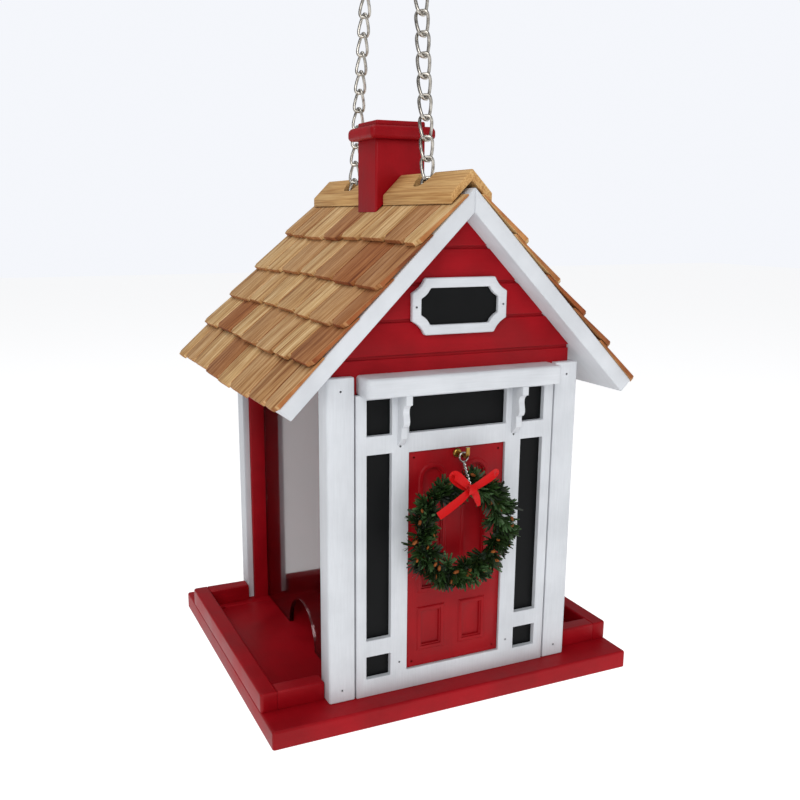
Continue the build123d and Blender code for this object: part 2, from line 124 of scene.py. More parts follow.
def new_material(name: str) -> tuple[bpy.types.Material, bpy.types.NodeTree, bpy.types.Node]:
    """An empty material with a Principled shader.

    Args:
        name: Name of the finish.

    Returns:
        The material, its node tree and the shader node.
    """
    material = bpy.data.materials.new(name)
    material.use_nodes = True
    tree = material.node_tree
    return material, tree, tree.nodes["Principled BSDF"]


def ramp(node: bpy.types.Node, stops: list[tuple[float, str]]) -> None:
    """Sets a colour ramp's stops.

    Args:
        node: Colour ramp node.
        stops: Positions with their hex colours, in order.
    """
    band = node.color_ramp
    while len(band.elements) < len(stops):
        band.elements.new(0.5)
    for element, (place, code) in zip(band.elements, stops):
        element.position = place
        element.color = srgb(code)


def darkened(tree: bpy.types.NodeTree, colour: bpy.types.NodeSocket, share: bpy.types.NodeSocket,
             shade: str) -> bpy.types.NodeSocket:
    """Multiplies a colour by a shade.

    Args:
        tree: Node tree of the material.
        colour: Colour to darken.
        share: How far to darken it, 0 to 1.
        shade: Six hex digits.

    Returns:
        The darkened colour.
    """
    node = add_node(tree, "ShaderNodeMix",
                    {"data_type": "RGBA", "blend_type": "MULTIPLY", 7: srgb(shade)},
                    {0: share, 6: colour})
    return node.outputs[2]


@dataclass(frozen=True)
class PaintedWood:
    """Satin alkyd paint brushed on pine and MDF: faint grain, brush marks, uneven gloss."""

    name: str
    colour: str
    shade: str
    grain: Grain
    roughness: float = 0.42
    specular: float = 0.22
    relief: float = 0.10

    def make(self) -> bpy.types.Material:
        """Builds the material.

        Returns:
            The finished material.
        """
        material, tree, shader = new_material(self.name)
        place = add_node(tree, "ShaderNodeTexCoord").outputs["Object"]
        along = add_node(tree, "ShaderNodeMapping", {"Scale": self.grain.value}, {"Vector": place})
        # brush marks and raised grain about 0.8 mm apart
        brush = add_node(tree, "ShaderNodeTexNoise", {"Scale": 1200.0, "Detail": 3.0},
                         {"Vector": along.outputs[0]})
        # paint pooling, patches about 25 mm wide
        pool = add_node(tree, "ShaderNodeTexNoise", {"Scale": 40.0, "Detail": 4.0},
                        {"Vector": place})
        # orange peel, 1.5 mm
        peel = add_node(tree, "ShaderNodeTexNoise", {"Scale": 650.0, "Detail": 2.0},
                        {"Vector": place})
        tone = add_node(tree, "ShaderNodeValToRGB", {}, {"Fac": pool.outputs[0]})
        ramp(tone, [(0.32, self.shade), (0.62, self.colour)])
        streak = add_node(tree, "ShaderNodeMapRange",
                          {"From Min": 0.25, "From Max": 0.75, "To Min": 0.0, "To Max": 0.16},
                          {"Value": brush.outputs[0]})
        mix = darkened(tree, tone.outputs[0], streak.outputs[0], "BDBDBD")
        tree.links.new(mix, shader.inputs["Base Color"])
        rough = add_node(tree, "ShaderNodeMapRange",
                         {"From Min": 0.3, "From Max": 0.7, "To Min": self.roughness - 0.06,
                          "To Max": self.roughness + 0.10}, {"Value": pool.outputs[0]})
        tree.links.new(rough.outputs[0], shader.inputs["Roughness"])
        shader.inputs["Specular IOR Level"].default_value = self.specular
        first = add_node(tree, "ShaderNodeBump", {"Strength": self.relief, "Distance": 0.0004},
                         {"Height": brush.outputs[0]})
        second = add_node(tree, "ShaderNodeBump",
                          {"Strength": self.relief * 0.6, "Distance": 0.0003},
                          {"Height": peel.outputs[0], "Normal": first.outputs[0]})
        tree.links.new(second.outputs[0], shader.inputs["Normal"])
        return material


@dataclass(frozen=True)
class Cedar:
    """Sawn, unfinished cedar: open straight grain down the slope, each shingle its own tone."""

    name: str
    light: str
    middle: str
    dark: str
    grain: Grain = Grain.SLOPE
    toned: bool = True

    def make(self) -> bpy.types.Material:
        """Builds the material.

        Returns:
            The finished material.
        """
        material, tree, shader = new_material(self.name)
        place = add_node(tree, "ShaderNodeTexCoord").outputs["Object"]
        if self.toned:
            island = add_node(tree, "ShaderNodeAttribute", {"attribute_name": "tone"})
            # each shingle is cut from its own place in the log
            shift = add_node(tree, "ShaderNodeVectorMath",
                             {"operation": "MULTIPLY", 1: (0.3, 0.7, 0.5)},
                             {0: island.outputs["Color"]})
            moved = add_node(tree, "ShaderNodeVectorMath", {"operation": "ADD"},
                             {0: place, 1: shift.outputs[0]}).outputs[0]
        else:
            moved = place
        along = add_node(tree, "ShaderNodeMapping", {"Scale": self.grain.value},
                         {"Vector": moved}).outputs[0]
        # growth rings, 2 to 3 mm apart where sawn flat
        rings = add_node(tree, "ShaderNodeTexNoise",
                         {"Scale": 330.0, "Detail": 3.0, "Distortion": 0.6}, {"Vector": along})
        # open pores and saw marks, 0.4 mm
        pores = add_node(tree, "ShaderNodeTexNoise", {"Scale": 1900.0, "Detail": 2.0},
                         {"Vector": along})
        colour = add_node(tree, "ShaderNodeValToRGB", {}, {"Fac": rings.outputs[0]})
        ramp(colour, [(0.30, self.dark), (0.46, self.middle), (0.66, self.light)])
        fine = add_node(tree, "ShaderNodeMapRange",
                        {"From Min": 0.35, "From Max": 0.6, "To Min": 0.55, "To Max": 0.0},
                        {"Value": pores.outputs[0]})
        last = darkened(tree, colour.outputs[0], fine.outputs[0], "B98F62")
        if self.toned:
            own = add_node(tree, "ShaderNodeSeparateColor", {}, {0: island.outputs["Color"]})
            weight = add_node(tree, "ShaderNodeMapRange", {"To Min": -0.15, "To Max": 0.95},
                              {"Value": own.outputs[0]})
            last = darkened(tree, last, weight.outputs[0], "B98058")
        tree.links.new(last, shader.inputs["Base Color"])
        shader.inputs["Roughness"].default_value = 0.68
        shader.inputs["Specular IOR Level"].default_value = 0.25
        coarse = add_node(tree, "ShaderNodeBump", {"Strength": 0.35, "Distance": 0.0006},
                          {"Height": rings.outputs[0]})
        small = add_node(tree, "ShaderNodeBump", {"Strength": 0.3, "Distance": 0.0004},
                         {"Height": pores.outputs[0], "Normal": coarse.outputs[0]})
        tree.links.new(small.outputs[0], shader.inputs["Normal"])
        return material


@dataclass(frozen=True)
class Metal:
    """Plated or polished wire: mirror-like with handling marks that vary the gloss."""

    name: str
    colour: str
    shade: str
    roughness: float

    def make(self) -> bpy.types.Material:
        """Builds the material.

        Returns:
            The finished material.
        """
        material, tree, shader = new_material(self.name)
        place = add_node(tree, "ShaderNodeTexCoord").outputs["Object"]
        # plating stains about 3 mm across
        stain = add_node(tree, "ShaderNodeTexNoise", {"Scale": 330.0, "Detail": 3.0},
                         {"Vector": place})
        tone = add_node(tree, "ShaderNodeValToRGB", {}, {"Fac": stain.outputs[0]})
        ramp(tone, [(0.35, self.shade), (0.6, self.colour)])
        tree.links.new(tone.outputs[0], shader.inputs["Base Color"])
        rough = add_node(tree, "ShaderNodeMapRange",
                         {"To Min": self.roughness - 0.08, "To Max": self.roughness + 0.12},
                         {"Value": stain.outputs[0]})
        tree.links.new(rough.outputs[0], shader.inputs["Roughness"])
        shader.inputs["Metallic"].default_value = 1.0
        return material


@dataclass(frozen=True)
class ClearSheet:
    """Cast acrylic sheet: glossy and a little dusty, with a pinkish grey tint that is a painted reflection of
    the red walls.
    """

    name: str = "clear_acrylic_sheet"

    def make(self) -> bpy.types.Material:
        """Builds the material.

        Returns:
            The finished material.
        """
        material, tree, shader = new_material(self.name)
        place = add_node(tree, "ShaderNodeTexCoord").outputs["Object"]
        # dust and wipe marks about 8 mm across
        dust = add_node(tree, "ShaderNodeTexNoise", {"Scale": 120.0, "Detail": 4.0},
                        {"Vector": place})
        rough = add_node(tree, "ShaderNodeMapRange", {"To Min": 0.02, "To Max": 0.12},
                         {"Value": dust.outputs[0]})
        tree.links.new(rough.outputs[0], shader.inputs["Roughness"])
        # pinkish grey base colour: painted reflection of the red walls on the clear acrylic
        shader.inputs["Base Color"].default_value = srgb("BBA5A7")
        shader.inputs["IOR"].default_value = 1.49
        shader.inputs["Transmission Weight"].default_value = 1.0
        return material


@dataclass(frozen=True)
class Tinsel:
    """Slit PVC film twisted into wire: dull green needles that differ from sprig to sprig, with painted shade at
    their roots and a painted highlight green at their tips.
    """

    name: str
    dark: str
    light: str

    def make(self) -> bpy.types.Material:
        """Builds the material.

        Returns:
            The finished material.
        """
        material, tree, shader = new_material(self.name)
        tone = add_node(tree, "ShaderNodeAttribute", {"attribute_name": "tone"})
        own = add_node(tree, "ShaderNodeSeparateColor", {}, {0: tone.outputs["Color"]})
        colour = add_node(tree, "ShaderNodeValToRGB", {}, {"Fac": own.outputs[0]})
        # the last stop, 46643C, is a painted highlight that only the tips of the lightest sprigs reach
        ramp(colour, [(0.0, self.dark), (0.72, self.light), (1.0, "46643C")])
        tree.links.new(colour.outputs[0], shader.inputs["Base Color"])
        shader.inputs["Roughness"].default_value = 0.5
        shader.inputs["Specular IOR Level"].default_value = 0.35
        return material


@dataclass(frozen=True)
class Ribbon:
    """Polyester satin ribbon: fine weave across the strip, soft sheen."""

    name: str = "red_satin_ribbon"

    def make(self) -> bpy.types.Material:
        """Builds the material.

        Returns:
            The finished material.
        """
        material, tree, shader = new_material(self.name)
        flat = add_node(tree, "ShaderNodeUVMap").outputs["UV"]
        # threads 0.25 mm apart, drawn on the strip's own metres
        weave = add_node(tree, "ShaderNodeTexWave", {"Scale": 640.0, "Distortion": 0.4},
                         {"Vector": flat})
        tone = add_node(tree, "ShaderNodeValToRGB", {}, {"Fac": weave.outputs["Fac"]})
        ramp(tone, [(0.0, "B00608"), (1.0, "C80C0E")])
        tree.links.new(tone.outputs[0], shader.inputs["Base Color"])
        shader.inputs["Roughness"].default_value = 0.38
        shader.inputs["Specular IOR Level"].default_value = 0.12
        bump = add_node(tree, "ShaderNodeBump", {"Strength": 0.25, "Distance": 0.0001},
                        {"Height": weave.outputs["Fac"]})
        tree.links.new(bump.outputs[0], shader.inputs["Normal"])
        return material


def select_only(*pieces: bpy.types.Object) -> None:
    """Selects these pieces alone and makes the first one active.

    Args:
        pieces: Pieces to select.
    """
    bpy.ops.object.select_all(action="DESELECT")
    for piece in pieces:
        piece.select_set(True)
    bpy.context.view_layer.objects.active = pieces[0]


def dress(piece: bpy.types.Object, material: bpy.types.Material) -> None:
    """Gives a piece or a node one material all over.

    Args:
        piece: Piece or node.
        material: Its finish.
    """
    if piece.data.materials:
        for i in range(len(piece.data.materials)):
            piece.data.materials[i] = material
    else:
        piece.data.materials.append(material)


def eased_copy(node: bpy.types.Object, name: str, ease: float, material: bpy.types.Material,
               body: str) -> bpy.types.Object:
    """A merged copy of a node with sanded edges, standing for it.

    Args:
        node: The node's object.
        name: Name of the new piece.
        ease: Radius of the sanded edge, in metres.
        material: Finish of the piece.
        body: Body that it rides on.

    Returns:
        The new piece.
    """
    piece = bpy.data.objects.new(name, node.data.copy())
    bpy.context.scene.collection.objects.link(piece)
    piece.data.materials.clear()
    select_only(piece)
    bpy.ops.object.mode_set(mode="EDIT")
    bpy.ops.mesh.select_all(action="SELECT")
    bpy.ops.mesh.remove_doubles(threshold=MERGE_GAP)
    bpy.ops.mesh.dissolve_limited(angle_limit=FLAT_ANGLE)
    bpy.ops.object.mode_set(mode="OBJECT")
    soft = piece.modifiers.new("sanded_edge", "BEVEL")
    soft.width = ease
    soft.segments = EDGE_SEGMENTS
    soft.limit_method = "ANGLE"
    soft.angle_limit = EDGE_ANGLE
    soft.use_clamp_overlap = True
    bpy.ops.object.modifier_apply(modifier=soft.name)
    bpy.ops.object.shade_smooth_by_angle(angle=SMOOTH_ANGLE)
    dress(piece, material)
    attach(piece, body)
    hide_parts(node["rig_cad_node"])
    LOG.info("%s: %d faces", name, len(piece.data.polygons))
    return piece


def tone_islands(piece: bpy.types.Object, seed: int) -> None:
    """Writes a random colour per loose part, which the material reads as "tone".

    Args:
        piece: Piece made of separate solids.
        seed: Seed of the random colours.
    """
    pick = random.Random(seed)
    mesh = piece.data
    form = bmesh.new()
    form.from_mesh(mesh)
    form.verts.ensure_lookup_table()
    layer = form.verts.layers.float_color.new("tone")
    seen: set[int] = set()
    for start in form.verts:
        if start.index in seen:
            continue
        value = (pick.random(), pick.random(), pick.random(), 1.0)
        stack = [start]
        seen.add(start.index)
        while stack:
            vertex = stack.pop()
            vertex[layer] = value
            for edge in vertex.link_edges:
                other = edge.other_vert(vertex)
                if other.index not in seen:
                    seen.add(other.index)
                    stack.append(other)
    form.to_mesh(mesh)
    form.free()


def mark_end_grain(piece: bpy.types.Object, side: int, material: bpy.types.Material) -> None:
    """Gives the butts and rake ends of a shingle course their own finish.

    Args:
        piece: The course.
        side: -1 for the left slope, 1 for the right.
        material: Finish of the cut ends.
    """
    piece.data.materials.append(material)
    down = Vector((side, 0, -1)).normalized()
    for face in piece.data.polygons:
        if face.normal.dot(down) > BUTT_LIMIT or abs(face.normal.y) > RAKE_LIMIT:
            face.material_index = 1


@dataclass(frozen=True)
class Coat:
    """Paint on the house's pieces whose names start alike."""

    start: str
    slot: str
    grain: Grain
    ease: float


COATS = (
    Coat("base_board", "red_paint", Grain.Y, 0.3 * MM),
    Coat("tray_rail_side", "red_paint", Grain.Y, 0.3 * MM),
    Coat("tray_rail", "red_paint", Grain.X, 0.3 * MM),
    Coat("gable_wall", "red_paint", Grain.X, 0.4 * MM),
    Coat("corner_board", "white_paint", Grain.Z, 0.3 * MM),
    Coat("door_surround", "white_paint", Grain.Z, 0.35 * MM),
    Coat("lintel", "white_paint", Grain.X, 0.25 * MM),
    Coat("plaque_frame", "white_paint", Grain.X, 0.7 * MM),
)


@dataclass
class House:
    """Base, trays, walls, corner boards, clear panels, door front and gable plaque."""

    nodes: dict
    paints: dict = field(default_factory=dict)
    door_ease: float = 0.2 * MM

    def build(self) -> None:
        """Dresses every wooden piece of the house."""
        for grain in Grain:
            tag = grain.name.lower()
            self.paints["red_paint", grain] = PaintedWood(
                f"red_satin_paint_{tag}", "A00A17", "8B0812", grain, specular=0.14).make()
            self.paints["white_paint", grain] = PaintedWood(
                f"white_satin_paint_{tag}", "D7DADE", "CCCFD3", grain, 0.45, relief=0.12).make()
        door_red = PaintedWood("door_red_enamel", "9C0A14", "860710", Grain.Z, 0.36, 0.15,
                               0.06).make()
        black = PaintedWood("black_window_card", "0E0F10", "08090A", Grain.Z, 0.45, 0.12,
                            0.05).make()
        for name, node in self.nodes.items():
            coat = next((each for each in COATS if name.startswith(each.start)), None)
            if coat:
                eased_copy(node, name + "_painted", coat.ease, self.paints[coat.slot, coat.grain],
                           "house")
            elif name == "door":
                eased_copy(node, "door_enamelled", self.door_ease, door_red, "house")
            elif name in ("window_backing", "plaque_panel"):
                dress(node, black)
        clear = ClearSheet().make()
        for side in ("left", "right"):
            dress(self.nodes[f"clear_panel_{side}"], clear)


@dataclass
class Roof:
    """Roof boards, shingle courses, ridge caps and chimney."""

    nodes: dict
    paints: dict
    courses: int = 5
    board_ease: float = 0.6 * MM
    shingle_ease: float = 0.25 * MM
    cap_ease: float = 0.5 * MM
    chimney_ease: float = 0.3 * MM

    def build(self) -> None:
        """Dresses the roof's pieces and tones each shingle."""
        white = self.paints["white_paint", Grain.SLOPE]
        red = self.paints["red_paint", Grain.Z]
        shingle = Cedar("sawn_cedar_shingle", "E6C896", "CDA66F", "9C6C3E").make()
        ends = Cedar("cedar_end_grain", "D09A62", "B67A46", "8A5632").make()
        cap = Cedar("planed_cedar_cap", "D6AE74", "CDA268", "B88C54", Grain.LENGTH, False).make()
        for side in ("left", "right"):
            name = f"roof_board_{side}"
            eased_copy(self.nodes[name], name + "_painted", self.board_ease, white, "roof")
            for course in range(1, self.courses + 1):
                name = f"shingles_{side}_{course}"
                piece = eased_copy(self.nodes[name], name + "_sawn", self.shingle_ease, shingle,
                                   "roof")
                tone_islands(piece, course * 7 + len(side))
                mark_end_grain(piece, -1 if side == "left" else 1, ends)
        for place in ("front", "rear"):
            name = f"ridge_cap_{place}"
            eased_copy(self.nodes[name], name + "_planed", self.cap_ease, cap, "roof")
        for part in ("stack", "rim", "crown"):
            name = f"chimney_{part}"
            eased_copy(self.nodes[name], name + "_painted", self.chimney_ease, red, "roof")


def add_tube(form: bmesh.types.BMesh, points: list[Vector], radius: float, sides: int = 8,
             closed: bool = False) -> None:
    """Adds a round wire along a path.

    Args:
        form: Mesh being built.
        points: Middle line of the wire.
        radius: Radius of the wire.
        sides: Faces round the wire.
        closed: True where the path meets its own start.
    """
    rows = []
    count = len(points)
    last = Vector((0.31, 0.52, 0.79))
    for i, spot in enumerate(points):
        ahead = points[(i + 1) % count] if closed or i + 1 < count else spot
        behind = points[i - 1] if closed or i else spot
        run = (ahead - behind).normalized()
        last = (last - run * last.dot(run)).normalized()
        other = run.cross(last)
        rows.append([form.verts.new(spot + (last * math.cos(2 * math.pi * j / sides)
                                            + other * math.sin(2 * math.pi * j / sides)) * radius)
                     for j in range(sides)])
    pairs = list(zip(rows, rows[1:]))
    if closed:
        first, end = rows[0], rows[-1]
        turn = min(range(sides), key=lambda k: (first[k].co - end[0].co).length)
        pairs.append((end, first[turn:] + first[:turn]))
    else:
        form.faces.new(list(reversed(rows[0])))
        form.faces.new(rows[-1])
    for one, two in pairs:
        for j in range(sides):
            k = (j + 1) % sides
            form.faces.new((one[j], one[k], two[k], two[j]))


def place_mesh(form: bmesh.types.BMesh, name: str, material: bpy.types.Material, body: str) -> bpy.types.Object:
    """Turns a built mesh into a piece that rides on a body.

    Args:
        form: Mesh being built, which is freed.
        name: Name of the piece.
        material: Finish of the piece.
        body: Body that it rides on.

    Returns:
        The new piece.
    """
    mesh = bpy.data.meshes.new(name)
    form.to_mesh(mesh)
    form.free()
    piece = bpy.data.objects.new(name, mesh)
    bpy.context.scene.collection.objects.link(piece)
    dress(piece, material)
    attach(piece, body)
    LOG.info("%s: %d faces", name, len(mesh.polygons))
    return piece


def shade_soft(piece: bpy.types.Object) -> None:
    """Shades a piece smooth all over."""
    select_only(piece)
    bpy.ops.object.shade_smooth()


def place_wires(form: bmesh.types.BMesh, name: str, material: bpy.types.Material, body: str) -> bpy.types.Object:
    """Turns closed, built shapes into one smooth piece with its normals outwards.

    Args:
        form: Mesh being built, which is freed.
        name: Name of the piece.
        material: Finish of the piece.
        body: Body that it rides on.

    Returns:
        The new piece.
    """
    bmesh.ops.recalc_face_normals(form, faces=form.faces)
    piece = place_mesh(form, name, material, body)
    shade_soft(piece)
    return piece


@dataclass(frozen=True)
class ChainRun:
    """Where one chain leaves the ring and passes the ridge.

    The way is -1 for the front chain and 1 for the rear one. The turn is how far its links' faces
    are turned about the chain.
    """

    place: str
    way: int
    hole_y: float
    turn: float


CHAIN_RUNS = (
    ChainRun("front", -1, -38.4 * MM, math.radians(20)),
    ChainRun("rear", 1, 54.3 * MM, math.radians(84)),
)


@dataclass
class Hardware:
    """Chains, ring, screw eyes, brads and the cup hook."""

    nodes: dict
    ring_bottom: float = 565.2 * MM
    gap: float = 3.0 * MM
    ridge_z: float = 256.0 * MM
    pitch: float = 9.7 * MM
    foot_play: float = 2.0 * MM
    wire_r: float = 0.84 * MM
    half_w: float = 3.05 * MM
    twist: float = math.radians(34)
    end_power: float = 0.62         # under 1 squares a link's ends, and next its sides
    side_power: float = 0.45
    sway: float = 0.05              # how far faces swing to and fro down the chain, in radians
    drift: float = 0.012            # how far each link's face turns on from the last
    link_steps: int = 28

    def build(self) -> None:
        """Dresses the metal pieces and links the chains."""
        steel = Metal("bright_zinc_steel", "C6C1B8", "8F8A82", 0.22).make()
        brad = Metal("wire_brad_steel", "77736E", "4C4844", 0.5).make()
        sunk = PaintedWood("painted_over_brad", "7C0C14", "5E0810", Grain.Z).make()
        brass = Metal("brass_plate", "B08D45", "7E6230", 0.28).make()
        for name, node in self.nodes.items():
            if name.startswith("screw_eye") or name == "hang_ring":
                dress(node, steel)
            elif name == "door_brads":
                dress(node, sunk)
            elif "brads" in name or name == "plaque_nails":
                dress(node, brad)
            elif name == "cup_hook":
                dress(node, brass)
        for run in CHAIN_RUNS:
            self.chain(run, steel)

    def link_ends(self, run: ChainRun) -> list[Vector]:
        """Points where the chain's links meet, from the ring down to the screw eye.

        Args:
            run: The chain's place.

        Returns:
            The points, the first at the ring.
        """
        low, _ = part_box(f"chain_{run.place}")
        start = Vector((0, run.way * self.gap, self.ring_bottom))
        pull = (Vector((0, run.hole_y, self.ridge_z)) - start).normalized()
        spots = [start]
        while spots[-1].z > self.ridge_z:
            spots.append(spots[-1] + pull * self.pitch)
        while spots[-1].z - self.pitch > Vector(low).z - self.foot_play:
            spots.append(spots[-1] + Vector((0, 0, -self.pitch)))
        return spots

    def link_path(self, top: Vector, foot: Vector, face: float) -> list[Vector]:
        """Middle line of one twisted link's wire.

        Args:
            top: The link's upper end.
            foot: Its lower end.
            face: How far its face is turned, in radians.

        Returns:
            Points round the link.
        """
        down = (foot - top).normalized()
        middle = (top + foot) / 2
        half = (foot - top).length / 2 + self.wire_r
        path = []
        for k in range(self.link_steps):
            swing = 2 * math.pi * k / self.link_steps
            lengthways, sideways = math.cos(swing), math.sin(swing)
            along = math.copysign(abs(lengthways) ** self.end_power, lengthways) * half
            wide = math.copysign(abs(sideways) ** self.side_power, sideways) * self.half_w
            angle = -face + self.twist * along / half
            across = Vector((math.cos(angle), math.sin(angle), 0))
            across = (across - down * across.dot(down)).normalized()
            path.append(middle + down * along + across * wide)
        return path

    def chain(self, run: ChainRun, steel: bpy.types.Material) -> None:
        """Makes one twisted-link chain, whose faces turn a little from link to link.

        Args:
            run: The chain's place.
            steel: Finish of the wire.
        """
        spots = self.link_ends(run)
        form = bmesh.new()
        for number, (top, foot) in enumerate(zip(spots, spots[1:])):
            face = run.turn + self.sway * math.sin(number * 1.3) - self.drift * number
            add_tube(form, self.link_path(top, foot, face), self.wire_r, closed=True)
        piece = place_wires(form, f"chain_{run.place}_links", steel, "house")
        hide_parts(f"chain_{run.place}")


NEEDLE_SHAPE = ((0.0, 0.7), (0.6, 1.0), (1.0, 0.6))     # share of the length, share of the width
SPRIG_GREENS = (0.1, 0.4, 0.75, 1.15)       # lightness, 0 to 1 and a few past it
SPRIG_LEANS = (-0.5, 0.15, 0.75, 1.0)       # 1 points out from the ring, below 0 points inwards
# each stretch of ribbon: points in millimetres from the bow's middle, and the width at each
BOW = {
    "bow_loop_left": (
        [(0, 0, 0), (-3.5, -1.4, 3.4), (-8.2, -2.0, 7.4), (-9.4, -0.2, 7.4), (-7.6, 1.2, 5.0),
         (-3.5, 0.8, 1.6), (0, 0.2, 0)],
        [0.55, 0.85, 1.0, 1.0, 1.0, 0.85, 0.55]),
    "bow_loop_right": (
        [(0, 0, 0), (5, -1.4, 2.6), (11.4, -2.0, 6.2), (12.6, -0.2, 5.8), (10.2, 1.2, 3.4),
         (4.5, 0.8, 0.8), (0, 0.2, 0)],
        [0.55, 0.85, 1.0, 1.0, 1.0, 0.85, 0.55]),
    "bow_tail_left": (
        [(0, -0.6, 0), (-5, -1.4, -3.6), (-11, -1.0, -7.6), (-16.6, -0.4, -11.2)],
        [0.6, 0.95, 1.0, 1.0]),
    "bow_tail_right": (
        [(0, -0.6, 0), (2.4, -0.8, -3.0), (4.2, 0.2, -6.2), (5.4, 0.8, -9.4)],
        [0.5, 0.8, 0.7, 0.35]),
    "bow_knot": (
        [(0, -2.0, 2.4), (0.1, -2.6, 1.2), (0, -2.9, 0), (-0.1, -2.6, -1.2), (0, -1.8, -2.4)],
        [0.8, 0.9, 0.95, 0.9, 0.8]),
}


@dataclass
class Wreath:
    """Tinsel pine ring with buds, hung on the hook by a wire, and its satin bow."""

    sprig_seed: int = 41
    bud_seed: int = 5
    offset: tuple[float, float, float] = (-3.0 * MM, 0, 0.8 * MM)     # hangs a little askew
    ring_r: float = 20.9 * MM
    sprigs: int = 104
    needles: int = 24
    reach: float = 8.0 * MM
    needle_len: float = 7.6 * MM
    needle_w: float = 1.15 * MM
    wall_clear: float = 0.35 * MM
    core_steps: int = 160
    core_sides: int = 8
    buds: int = 34
    eye_wire_r: float = 0.45 * MM
    eye_steps: int = 24
    wire_r: float = 0.42 * MM
    wire_lay: float = 0.48          # millimetres from the twisted pair's middle
    wire_turns: float = 3.2
    wire_steps: int = 36
    ribbon_w: float = 4.4 * MM
    ribbon_steps: int = 12
    ribbon_strips: int = 4
    centre: Vector = field(default_factory=Vector)
    back: float = 0.0

    def build(self) -> None:
        """Makes the sprigs, core, buds, wire and bow."""
        low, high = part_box("wreath_ring")
        self.centre = (Vector(low) + Vector(high)) / 2 + Vector(self.offset)
        self.back = Vector(high).y - self.wall_clear
        self.make_sprigs()
        self.make_core()
        self.make_buds()
        self.make_loop()
        self.make_bow()

    def ring_point(self, angle: float) -> tuple[Vector, Vector, Vector]:
        """Point on the ring's middle line.

        Args:
            angle: Angle round the ring, in radians.

        Returns:
            The point, the outward direction and the direction along the ring.
        """
        out = Vector((math.cos(angle), 0, math.sin(angle)))
        run = Vector((-math.sin(angle), 0, math.cos(angle)))
        return self.centre + out * self.ring_r, out, run

    def add_needle(self, form: bmesh.types.BMesh, layer: bmesh.types.BMLayerItem, root: Vector,
                   way: Vector, length: float, tone: float, pick: random.Random) -> None:
        """Adds one slit-film needle, a tapered strip bent a little, darker at its root as painted shade and
        lighter at its tip as painted light.

        Args:
            form: Mesh being built.
            layer: Colour layer named tone.
            root: Where the needle leaves its stem.
            way: Unit direction of the needle.
            length: Needle's length.
            tone: Lightness of the needle's green, 0 to 1.
            pick: Random numbers.
        """
        side = way.cross(Vector((pick.uniform(-1, 1), pick.uniform(-1, 1), pick.uniform(-1, 1))))
        side.normalize()
        bend = side.cross(way) * length * pick.uniform(-0.12, 0.12)
        rows = []
        for share, width in NEEDLE_SHAPE:
            spot = root + way * length * share + bend * share * share
            spot.y = min(spot.y, self.back)
            half = side * self.needle_w * width / 2
            pair = (form.verts.new(spot - half), form.verts.new(spot + half))
            for vertex in pair:
                # the sprig's tone runs from 0.55 of itself at the root to 1.15 at the tip: painted shade inside
                # the sprig, painted light on the tips
                tone_with_painted_shade = min(1.0, tone * (0.55 + 0.6 * share))
                vertex[layer] = (tone_with_painted_shade, tone_with_painted_shade, tone_with_painted_shade, 1.0)
            rows.append(pair)
        for first, second in zip(rows, rows[1:]):
            form.faces.new((first[0], first[1], second[1], second[0]))

    def make_sprigs(self) -> None:
        """Makes short stems round the ring, each with needles leaning towards its tip."""
        pick = random.Random(self.sprig_seed)
        form = bmesh.new()
        layer = form.verts.layers.float_color.new("tone")
        for number in range(self.sprigs):
            angle = 2 * math.pi * (number + pick.uniform(-0.4, 0.4)) / self.sprigs
            root, out, run = self.ring_point(angle)
            across = pick.choice(SPRIG_LEANS) + pick.uniform(-0.2, 0.2)
            front = Vector((0, -1, 0)) * pick.uniform(0.0, 0.75)
            stem = (out * across + run * pick.uniform(-0.9, 0.2) + front).normalized()
            reach = self.reach * (pick.uniform(0.65, 1.0) if across > 0 else 0.6)
            shade = pick.choice(SPRIG_GREENS) + pick.uniform(-0.05, 0.1)
            for step in range(self.needles):
                share = step / (self.needles - 1)
                spot = root + stem * reach * share
                spin = Vector((pick.uniform(-1, 1), pick.uniform(-1, 1), pick.uniform(-1, 1)))
                side = (spin - stem * spin.dot(stem)).normalized()
                lean = 0.55 + 0.55 * share
                way = (stem * (lean + 0.45) + side).normalized()
                length = self.needle_len * pick.uniform(0.75, 1.05) * (1.0 - 0.25 * share)
                self.add_needle(form, layer, spot, way, length, shade * pick.uniform(0.7, 1.1),
                                pick)
        green = Tinsel("pvc_pine_tinsel", "090F05", "2A4419").make()
        piece = place_mesh(form, "wreath_sprigs", green, "wreath")
        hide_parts("wreath_ring")

    def make_core(self) -> None:
        """Makes the twisted wire core that the sprigs grow from."""
        form = bmesh.new()
        layer = form.verts.layers.float_color.new("tone")
        rows = []
        for i in range(self.core_steps):
            middle, out, _ = self.ring_point(2 * math.pi * i / self.core_steps)
            row = []
            for j in range(self.core_sides):
                swing = 2 * math.pi * j / self.core_sides
                fat = (1.5 + 0.5 * math.sin(3 * swing + i * 0.9)) * MM
                aside = out * math.cos(swing) + Vector((0, 1, 0)) * math.sin(swing)
                vertex = form.verts.new(middle + aside * fat)
                vertex[layer] = (0.1, 0.1, 0.1, 1.0)
                row.append(vertex)
            rows.append(row)
        for one, two in zip(rows, rows[1:] + rows[:1]):
            for j in range(self.core_sides):
                k = (j + 1) % self.core_sides
                form.faces.new((one[j], two[j], two[k], one[k]))
        bmesh.ops.recalc_face_normals(form, faces=form.faces)
        wrapped = Tinsel("pvc_wrapped_core", "10200C", "1E3A1E").make()
        place_mesh(form, "wreath_core", wrapped, "wreath")

